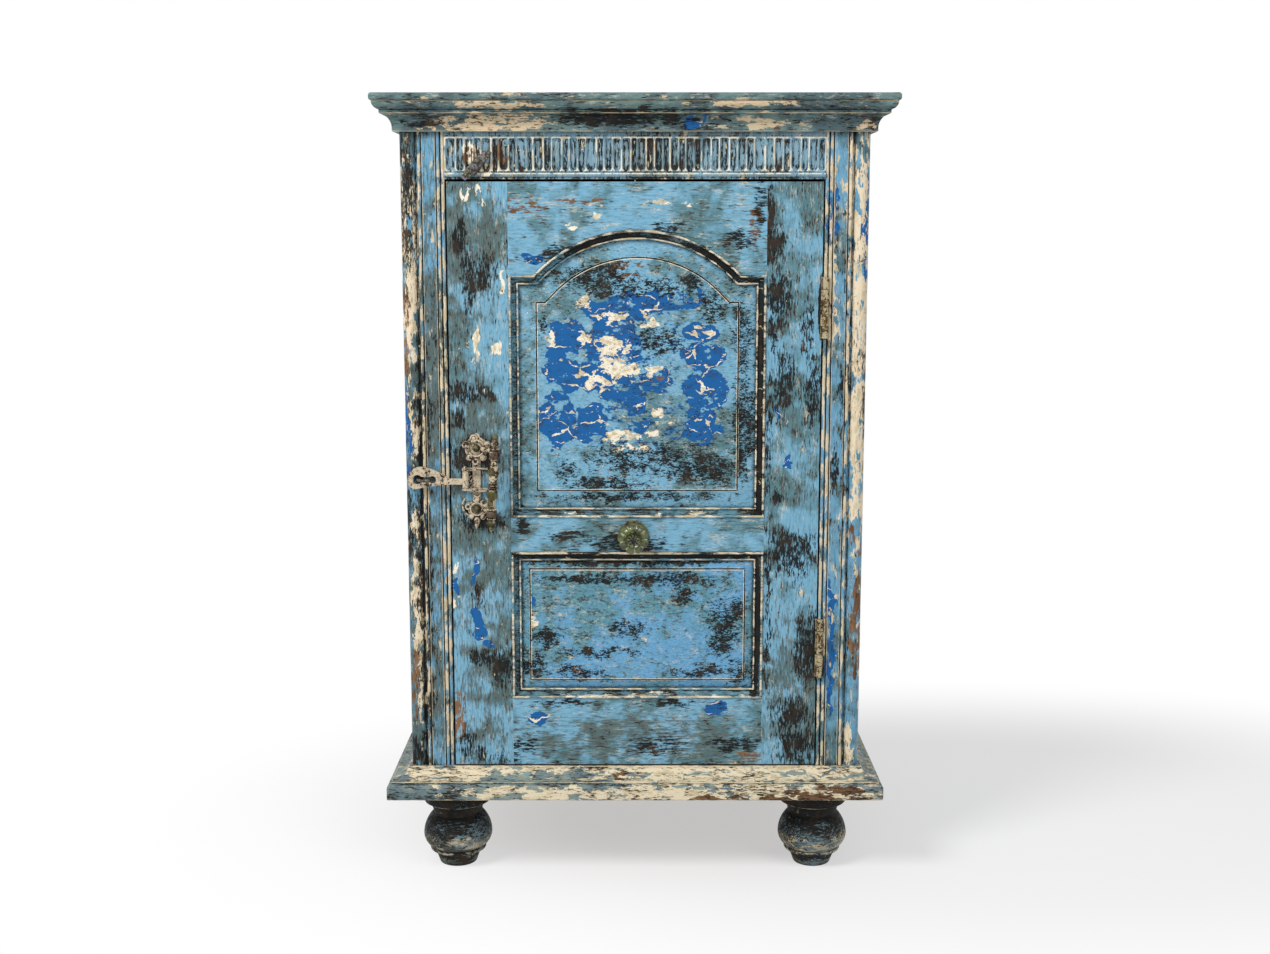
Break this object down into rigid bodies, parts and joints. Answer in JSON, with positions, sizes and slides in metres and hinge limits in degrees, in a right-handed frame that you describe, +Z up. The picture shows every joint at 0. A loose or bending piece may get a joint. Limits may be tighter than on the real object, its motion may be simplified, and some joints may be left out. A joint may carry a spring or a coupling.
{
  "type": "side cupboard",
  "caption": "Free-standing wooden side cupboard with a panelled door, fluted frieze, moulded cornice and plinth, and turned bun feet.",
  "frame": {"origin": "on the floor, under the centre of the bounding box", "axes": "+Z up; the door faces -Y; +X towards the hinge side of the door"},
  "size_m": [0.642, 0.4375, 0.9973],
  "materials": {
    "rubbed_blue_paint": "rubbed blue paint over older coats",
    "rubbed_cream_paint": "rubbed cream paint with bare wood showing",
    "dark_feet_paint": "dark worn paint",
    "bare_wood": "bare softwood",
    "aged_brass": "aged and partly painted",
    "dark_iron": "dark and aged",
    "olive_glaze": "glossy olive glaze"
  },
  "bodies": {
    "carcass": {"top_board": "rubbed_blue_paint", "cornice_front": "rubbed_blue_paint", "cornice_left": "rubbed_blue_paint", "cornice_right": "rubbed_blue_paint", "frieze_rail": "rubbed_blue_paint", "front_post_left": "rubbed_blue_paint", "front_post_right": "rubbed_blue_paint", "side_panel_left": "rubbed_blue_paint", "side_panel_right": "rubbed_blue_paint", "side_top_rail_left": "rubbed_blue_paint", "side_top_rail_right": "rubbed_blue_paint", "side_bottom_rail_left": "rubbed_blue_paint", "side_bottom_rail_right": "rubbed_blue_paint", "rear_post_left": "rubbed_blue_paint", "rear_post_right": "rubbed_blue_paint", "plinth_front": "rubbed_cream_paint", "plinth_left": "rubbed_cream_paint", "plinth_right": "rubbed_cream_paint", "foot_front_left": "dark_feet_paint", "foot_front_right": "dark_feet_paint", "foot_rear_left": "dark_feet_paint", "foot_rear_right": "dark_feet_paint", "base_board": "bare_wood", "bottom_front_rail": "bare_wood", "rear_top_rail": "bare_wood", "back_board_left": "bare_wood", "back_board_right": "bare_wood", "shelf": "bare_wood", "shelf_battens": "bare_wood", "door_stop": "bare_wood", "frieze_pegs": "bare_wood", "turn_button_screw": "aged_brass", "hinge_leaves_frame": "dark_iron", "hinge_pins": "dark_iron", "hinge_screws_frame": "dark_iron", "hasp_staple": "dark_iron", "back_nails": "dark_iron"},
    "door": {"door_stile_left": "rubbed_blue_paint", "door_stile_right": "rubbed_blue_paint", "door_top_rail": "rubbed_blue_paint", "door_middle_rail": "rubbed_blue_paint", "door_bottom_rail": "rubbed_blue_paint", "door_upper_panel": "rubbed_blue_paint", "door_lower_panel": "rubbed_blue_paint", "upper_panel_moulding": "rubbed_blue_paint", "lower_panel_moulding": "rubbed_blue_paint", "door_pegs": "bare_wood", "hinge_leaves_door": "dark_iron", "hinge_screws_door": "dark_iron", "ceramic_knob": "olive_glaze", "knob_rosette": "dark_iron", "knob_bolt": "dark_iron", "knob_nut": "dark_iron", "latch_plate": "aged_brass", "latch_grip": "aged_brass", "latch_arms": "aged_brass", "latch_screws": "dark_iron", "hasp_pin": "dark_iron"},
    "hasp": {"hasp": "aged_brass"},
    "turn_button": {"turn_button": "rubbed_blue_paint"}
  },
  "joints": [
    {"name": "door_hinge", "type": "hinge", "parent": "carcass", "child": "door", "pos_m": [0.2367, -0.185, 0.52], "axis": [0, 0, 1], "range_deg": [0, 160]},
    {"name": "hasp_hinge", "type": "hinge", "parent": "door", "child": "hasp", "pos_m": [-0.2135, -0.1885, 0.523], "axis": [0, 0, 1], "range_deg": [0, 120]},
    {"name": "button_turn", "type": "hinge", "parent": "carcass", "child": "turn_button", "pos_m": [-0.196, -0.1855, 0.911], "axis": [0, 1, 0], "continuous": true}
  ]
}
